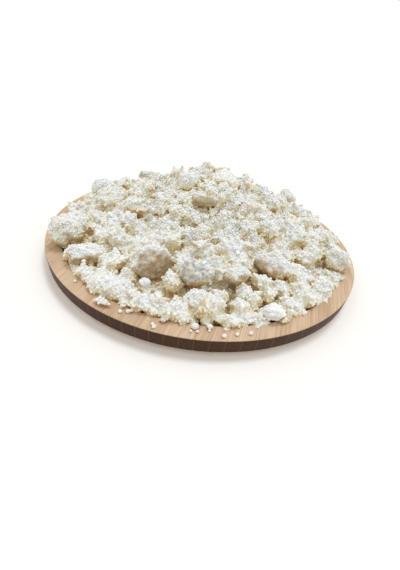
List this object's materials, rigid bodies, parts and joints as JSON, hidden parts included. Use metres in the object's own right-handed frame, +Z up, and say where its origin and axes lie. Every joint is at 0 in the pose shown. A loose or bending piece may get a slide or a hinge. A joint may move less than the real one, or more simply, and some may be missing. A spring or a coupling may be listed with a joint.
{
  "type": "bowl of tulum cheese",
  "caption": "Shallow round bamboo dish with a flat rim and an undercut base, heaped with white crumbled tulum cheese in a low mound with larger lumps round its foot.",
  "frame": {"origin": "centre of the flat foot's underside", "axes": "+Z up out of the dish, -Y towards the front that the picture shows, +X to its right"},
  "size_m": [0.3, 0.3, 0.077],
  "materials": {
    "bamboo": "satin, glued bamboo strips under thin oil",
    "cheese": "matte, moist, granular and slightly see-through at its edges"
  },
  "bodies": {
    "root": {"dish": "bamboo", "curd_heap": "cheese", "lump_front_round": "cheese", "lump_front_slab": "cheese", "lump_right_block": "cheese", "lump_left_rim": "cheese", "lump_left_long": "cheese", "lump_front_low": "cheese", "lump_front_white": "cheese", "lump_right_rim": "cheese", "lump_front_centre": "cheese", "lump_small_smooth": "cheese", "lump_back_left": "cheese", "lump_shoulder": "cheese", "lump_back_tall": "cheese", "lump_back_right": "cheese", "lump_peak": "cheese", "lump_peak_left": "cheese", "lump_brow": "cheese", "rim_crumb_cluster": "cheese"}
  },
  "joints": []
}
